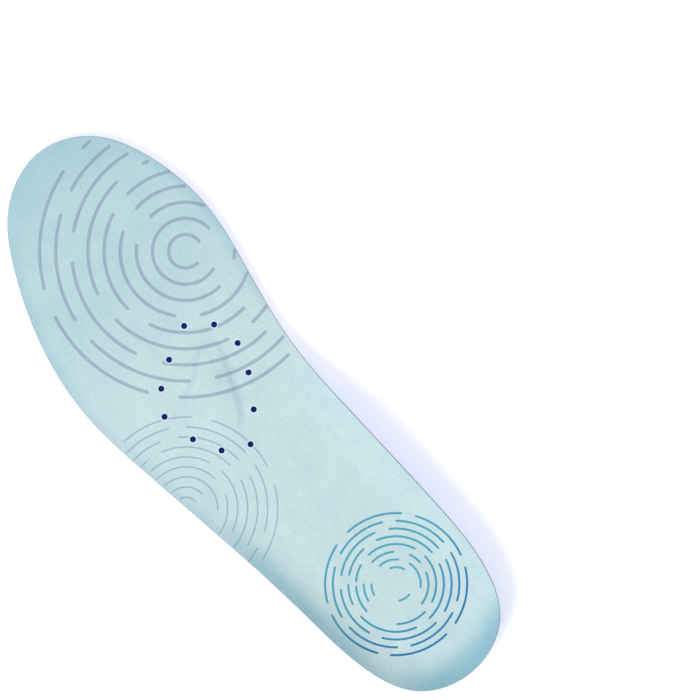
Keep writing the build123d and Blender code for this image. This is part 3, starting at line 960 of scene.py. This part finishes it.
def make_heel_pad():
    outer = ellipse(HEEL_CENTRE, HEEL_HALF, -HEEL_MOAT, 120)
    brim = ellipse(HEEL_CENTRE, HEEL_HALF, -HEEL_MOAT - 0.25, 120)
    inner = ellipse(HEEL_CENTRE, HEEL_HALF, -HEEL_MOAT - HEEL_PAD_RIM, 72)
    mouths, floors, crests = [], [], []
    for x, y in hex_lattice(CELL_PITCH, CELL_ANGLE, 34):
        middle = (HEEL_CENTRE[0] + x, HEEL_CENTRE[1] + y)
        cell = hexagon(middle, (CELL_PITCH - CELL_WALL) / 2, CELL_ANGLE)
        if not (inside_depth(inner, cell) > -8).any():
            continue
        mouth = clipped(cell, inner)
        if mouth is None or area(mouth) < SMALLEST_CELL:
            continue
        centre = mouth.mean(0)
        mouths.append(mouth)
        floors.append(centre + (mouth - centre) * 0.80)
        crest = hexagon(middle, CELL_PITCH / 2, CELL_ANGLE)
        if inside_depth(inner, crest).min() > 0.1:
            crests.append(crest)
    xy, faces = triangulated(outer, [brim, *mouths, *floors, *crests])
    z = np.full(len(xy), HEEL_PAD_FACE)
    z[: len(outer)] = HEEL_PAD_FACE + 0.3
    first = len(outer) + len(brim)
    last = first + sum(len(mouth) for mouth in mouths)
    z[first:last] = HEEL_PAD_FACE + CREST_SETBACK
    z[last : last + sum(len(floor) for floor in floors)] = HEEL_PAD_FACE + CELL_DEPTH
    verts, solid = thickened(xy, faces, np.full(len(xy), POCKET_FLOOR - SEAT), z)
    pad = piece("heel_honeycomb", verts, solid, [honeycomb_material()], 30)
    # painted light on the cell walls' crests, fading to painted shade on the cell floors
    add_attribute(pad, "thin_gel_and_highlight", ease((HEEL_PAD_FACE + 0.9 - points_of(pad)[:, 2]) / 0.9))
    return pad


# ---- arch shell ----
def to_line(line, xy):
    """Distance to an open line, and how far along it the nearest place is, from 0 to 1."""
    run = np.diff(line, axis=0)
    away = xy[:, None, :] - line[None, :-1]
    share = np.clip((away * run).sum(2) / (run * run).sum(1), 0, 1)
    distance = np.linalg.norm(away - share[..., None] * run, axis=2)
    nearest = distance.argmin(1)
    rows = np.arange(len(xy))
    return distance[rows, nearest], (nearest + share[rows, nearest]) / len(run)


def rib_path(corners, cut=0.8):
    """An open line through corners, with each corner cut off, and points about a millimetre apart."""
    corners = [np.array(corner, float) for corner in corners]
    marks = [corners[0]]
    for before, corner, after in zip(corners, corners[1:], corners[2:]):
        for other in (before, after):
            run = other - corner
            marks.append(corner + run / np.linalg.norm(run) * cut)
    marks.append(corners[-1])
    line = [marks[0]]
    for a, b in zip(marks, marks[1:]):
        steps = max(1, round(float(np.linalg.norm(b - a))))
        line.extend(a + (b - a) * k / steps for k in range(1, steps + 1))
    return np.array(line)


# offsets of the lines that carry a rib's section
RIB_LINES = [*[side * (RIB_HALF + k) for side in (-1, 1) for k in (-LINE_HALF, 0, LINE_HALF)], 0]


def rib_relief(ribs, frames, xy):
    """How raised each point is by the ribs, and how deep it lies in the engraved lines, from 0 to 1."""
    raised, groove = np.zeros(len(xy)), np.zeros(len(xy))
    for frame_line in frames:
        groove = np.maximum(groove, 0.8 * np.clip(1 - to_line(frame_line, xy)[0] / LINE_HALF, 0, 1))
    for rib in ribs:
        away = to_line(rib, xy)[0]
        ends = np.minimum(np.linalg.norm(xy - rib[0], axis=1), np.linalg.norm(xy - rib[-1], axis=1))
        fade = ease(ends / 3)
        raised = np.maximum(raised, ease((RIB_HALF - away) / 0.7) * fade)
        groove = np.maximum(groove, np.clip(1 - np.abs(away - RIB_HALF) / LINE_HALF, 0, 1) * fade)
    return raised, groove


def make_shell():
    ribs = [rib_path(corners) for corners in RIBS]
    frames = [rib_path(corners) for corners in FRAMES]
    windows = [ellipse(HEEL_CENTRE, HEEL_HALF, 0, 120), ellipse(BUTTON_CENTRE, BUTTON_HALF, 0, 72)]
    # distance in from an edge, and how far the face is set back there
    edges = [(0, 0.45), (0.12, 0.22), (0.4, 0.03), (0.8, 0)]
    loops = [grown(SHELL_EDGE, -inset) for inset, _ in edges[1:]]
    for window in windows:
        loops += [grown(window, inset) for inset, _ in edges[1:]]
    lines = [arc_side(rib, side) for rib in ribs for side in RIB_LINES]
    lines += [arc_side(line, side) for line in frames for side in (-LINE_HALF, 0, LINE_HALF)]
    lines = [line[inside_depth(SHELL_EDGE, line) > 0.9] for line in lines]
    loose = grid(SHELL_EDGE, 1.1, 0.35, [*loops, *windows])
    for path, clear in [(rib, RIB_HALF + 0.6) for rib in ribs] + [(line, 0.6) for line in frames]:
        loose = loose[to_line(path, loose)[0] > clear]
    xy, faces = triangulated(SHELL_EDGE, loops, windows, loose, lines)
    depth = inside_depth(SHELL_EDGE, xy)
    for window in windows:
        depth = np.minimum(depth, -inside_depth(window, xy))
    z = SHELL_FACE + np.interp(depth, *zip(*edges))
    raised, groove = rib_relief(ribs, frames, xy)
    z += LINE_DEPTH * groove - RIB_RISE * raised
    verts, solid = thickened(xy, faces, np.full(len(xy), SHELL_T - SEAT), z)
    support = piece("arch_support", verts, solid, [shell_material()], 40)
    at = points_of(support)
    # painted shade along the ribs' edges and in the engraved lines of the shell's face
    add_attribute(support, "groove", rib_relief(ribs, frames, at[:, :2])[1] * (at[:, 2] < SHELL_T - 0.1))
    return support


# ---- gel button ----
def make_button():
    """A domed oval lens, its crown towards the sole."""
    rings, around = 16, 64
    half = np.array(BUTTON_HALF) - BUTTON_GAP
    levels = []
    for angle in np.linspace(0, math.pi / 2, rings + 1):
        levels.append((math.sin(angle), BUTTON_FACE + BUTTON_CROWN * (1 - math.cos(angle))))
    levels.append((1.0, POCKET_FLOOR - SEAT))
    verts, faces, loops = [], [], []
    for k, (size, z) in enumerate(levels):
        verts.append(np.column_stack([ellipse(BUTTON_CENTRE, half * size, 0, around), np.full(around, z)]))
        loops.append(list(range(k * around, (k + 1) * around)))
    for lower, upper in zip(loops, loops[1:]):
        faces += bridge(lower, upper)
    faces.append(tuple(loops[-1]))
    look = gel_material("gel_lens_blue", (0, 62, 186), (0, 92, 214), 0.08, 260, 0.8, 0.8)
    button = piece("gel_lens", np.concatenate(verts), faces, [look], 50)
    # painted shade: the lens darkens towards the rim of its dome
    add_attribute(button, "painted_shade", ease((points_of(button)[:, 2] - BUTTON_FACE - 0.5) / 1.5))
    return button


# ---- studded forefoot pad ----
def make_forefoot_pad():
    base = STUD_TIP + STUD_H
    # distance in from the pad's edge, and how far the base is set back there
    rims = [(0.0, 0.25), (0.25, 0.0), (0.65, 0.0), (0.85, 0.25), (1.15, 0.25), (1.35, 0.0)]
    loops, levels = [], []
    for inset, lift in rims:
        loop = grown(FOREFOOT_EDGE, -inset)
        loops.append(loop)
        levels.append(np.full(len(loop), base + lift - 0.2 * (0.2 <= inset <= 0.7)))
    centres = []
    for column in range(-7, 9):
        for row in range(-9, 9):
            x = STUD_ORIGIN[0] + column * STUD_PITCH * math.cos(math.radians(30))
            y = STUD_ORIGIN[1] + (row + (column % 2) / 2) * STUD_PITCH
            centres.append((x, y))
    centres = np.array(centres)
    room = inside_depth(FOREFOOT_EDGE, centres) - STUD_CLEARANCE
    sizes = np.minimum(STUD_R, room[room > SMALLEST_STUD])
    centres = centres[room > SMALLEST_STUD]
    # a stud's section: share of its radius, and share of its height
    profile = [(1.0, 0.0), (0.96, 0.4), (0.88, 0.85), (0.6, 0.97)]
    tips = []
    for centre, radius in zip(centres, sizes):
        for share, rise in profile:
            loop = circle(centre, radius * share, 14)
            loops.append(loop)
            levels.append(np.full(len(loop), base - STUD_H * rise))
        tips.append(centre)
        for apothem, lift in ((STUD_PITCH / 2 - 0.28, 0.0), (STUD_PITCH / 2, 0.2)):
            loop = hexagon(centre, apothem, 30)
            if inside_depth(FOREFOOT_EDGE, loop).min() > 1.4:
                loops.append(loop)
                levels.append(np.full(len(loop), base + lift))
    given = np.concatenate([*loops, tips])
    level = np.concatenate([*levels, np.full(len(tips), base - STUD_H)])
    xy, faces = triangulated(loops[0], loops[1:], (), np.array(tips))
    # each point of the mesh takes the height of the given point it came from
    z = np.full(len(xy), base)
    order = np.lexsort(np.round(given, 4).T[::-1])
    rounded = {tuple(np.round(given[i], 3)): level[i] for i in order}
    for i, point in enumerate(xy):
        z[i] = rounded.get(tuple(np.round(point, 3)), base)
    verts, solid = thickened(xy, faces, np.full(len(xy), FOREFOOT_FLOOR - SEAT), z)
    look = gel_material("stud_blue", (0, 96, 204), (14, 126, 220), 0.16)
    pad = piece("forefoot_studs", verts, solid, [look], 38)
    z = points_of(pad)[:, 2]
    # painted highlight on the studs' flat tops
    add_attribute(pad, "thin_gel_and_highlight", ease((base - 0.3 - z) / 0.2))
    # painted shade in the grooves round each stud and along the pad's edge
    add_attribute(pad, "painted_shade", 0.4 * ease((z - base - 0.02) / 0.18) * (z < base + 0.35))
    return pad


# ---- assembly ----
def bends(obj):
    """Bakes the piece's transform into its mesh."""
    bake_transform(obj)


cover = make_cover()
foam = make_foam()
gel = make_gel()
heel_pad = make_heel_pad()
button = make_button()
studs = make_forefoot_pad()
support = make_shell()

for obj in (cover, foam, gel, studs):
    bends(obj)
for obj in (heel_pad, button, support):
    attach(obj, "rearfoot")

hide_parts("top_cover_rear", "top_cover_fore")
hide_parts("foam_sheet_rear", "foam_sheet_fore")
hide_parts("gel_base_rear", "gel_base_fore")
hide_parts("heel_honeycomb_pad")
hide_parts("gel_button")
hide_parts("forefoot_pad")
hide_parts("arch_shell")


# ---- floor, light and camera ----
FLOOR_HALF = 3.0


def make_floor():
    mesh = bpy.data.meshes.new("floor")
    r = FLOOR_HALF
    mesh.from_pydata([(-r, -r, 0), (r, -r, 0), (r, r, 0), (-r, r, 0)], [], [(0, 1, 2, 3)])
    made, _, shader = material("floor_white")
    tune(shader, {"Base Color": (0.92, 0.92, 0.92, 1), "Roughness": 0.9, "Specular IOR Level": 0.1})
    tune(shader, {"Emission Color": (1, 1, 1, 1), "Emission Strength": 0.38})
    mesh.materials.append(made)
    floor = bpy.data.objects.new("floor", mesh)
    bpy.context.collection.objects.link(floor)


def area_light(name, place, size, power):
    """A round lamp that points at the middle of the insole."""
    data = bpy.data.lights.new(name, "AREA")
    data.shape = "DISK"
    data.size = size
    data.energy = power
    lamp = bpy.data.objects.new(name, data)
    lamp.location = place
    lamp.rotation_euler = (-Vector(place)).to_track_quat("-Z", "Y").to_euler()
    bpy.context.collection.objects.link(lamp)


# The view is straight down and rolled, with the toe at the upper left and the heel at the lower right.
VIEW_UP = Vector((-0.6542, -0.7564, 0))
VIEW_RIGHT = Vector((-0.7564, 0.6542, 0))
VIEW_CENTRE = (-0.0516, 0.00535, 0.006)
VIEW_HEIGHT = 0.2904
VIEW_DISTANCE = 1.4
SENSOR = 36.0
WORLD_GLOW = 0.46  # strength of the world's light; the camera sees it at 1


def make_camera():
    data = bpy.data.cameras.new("camera")
    data.sensor_width = SENSOR
    data.lens = SENSOR * VIEW_DISTANCE / VIEW_HEIGHT
    data.clip_end = 20
    camera = bpy.data.objects.new("camera", data)
    back = VIEW_RIGHT.cross(VIEW_UP)
    turned = Matrix((VIEW_RIGHT, VIEW_UP, back)).transposed().to_4x4()
    camera.matrix_world = Matrix.Translation(Vector(VIEW_CENTRE) + back * VIEW_DISTANCE) @ turned
    bpy.context.collection.objects.link(camera)
    bpy.context.scene.camera = camera


make_floor()
area_light("key", (0.85, 0.2, 1.0), 0.6, 9.0)
area_light("fill", (-0.7, -0.4, 0.9), 1.0, 2.6)
area_light("low", (-0.2, -0.9, 0.4), 0.5, 0.8)
make_camera()

world = bpy.data.worlds.new("studio")
world.use_nodes = True
tree = world.node_tree
backdrop = tree.nodes["Background"]
backdrop.inputs["Color"].default_value = (0.95, 0.97, 1.0, 1)
seen = add_node(tree, "LightPath").outputs["Is Camera Ray"]
level = math_node(tree, "MULTIPLY", seen, 1 - WORLD_GLOW)
level = math_node(tree, "ADD", level, WORLD_GLOW)
tree.links.new(level, backdrop.inputs["Strength"])
bpy.context.scene.world = world
bpy.context.scene.view_settings.view_transform = "Standard"
